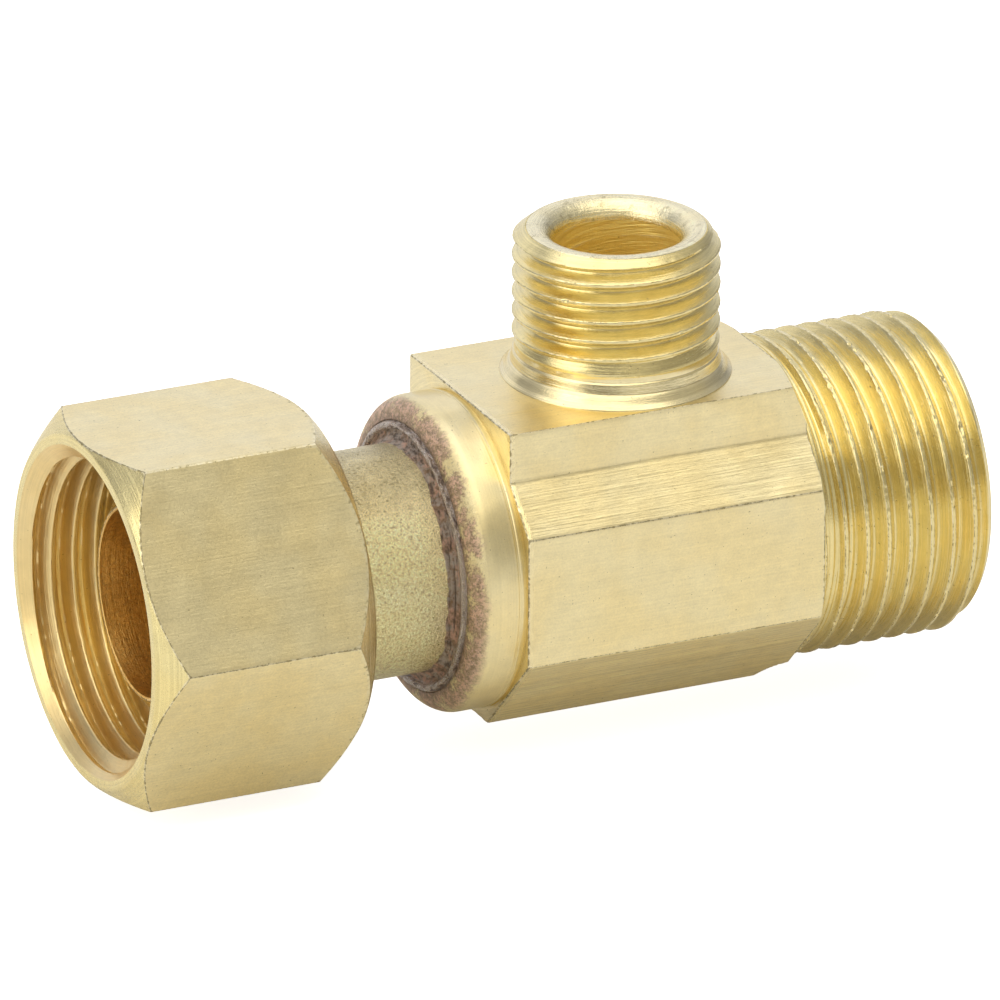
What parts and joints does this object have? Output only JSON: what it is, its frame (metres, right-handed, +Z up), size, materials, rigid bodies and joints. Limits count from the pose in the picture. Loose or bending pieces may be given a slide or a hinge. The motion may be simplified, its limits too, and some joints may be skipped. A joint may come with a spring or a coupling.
{
  "type": "tee adapter fitting",
  "caption": "Brass supply-line tee adapter with a captive female swivel nut, a male threaded run outlet and a smaller male threaded branch.",
  "frame": {"origin": "middle of the body's bottom flat, straight below the branch axis", "axes": "+X along the run from the swivel nut to the threaded outlet, +Z up the branch, 8.73 mm from the origin to the run axis"},
  "size_m": [0.0492, 0.022, 0.0265],
  "materials": {
    "brass_body": "satin, machined and lightly tumbled",
    "brass_tailpiece": "matte, blasted neck",
    "braze_filler": "oxidised brazing filler",
    "brass_nut": "satin, drawn hexagon flats and turned chamfers"
  },
  "bodies": {
    "fitting": {"tee_body": "brass_body", "tailpiece": "brass_tailpiece", "braze_ring": "braze_filler"},
    "nut": {"swivel_nut": "brass_nut"}
  },
  "joints": [
    {"name": "nut_spin", "type": "hinge", "parent": "fitting", "child": "nut", "pos_m": [-0.0242, 0, 0.00873], "axis": [1, 0, 0], "continuous": true}
  ]
}
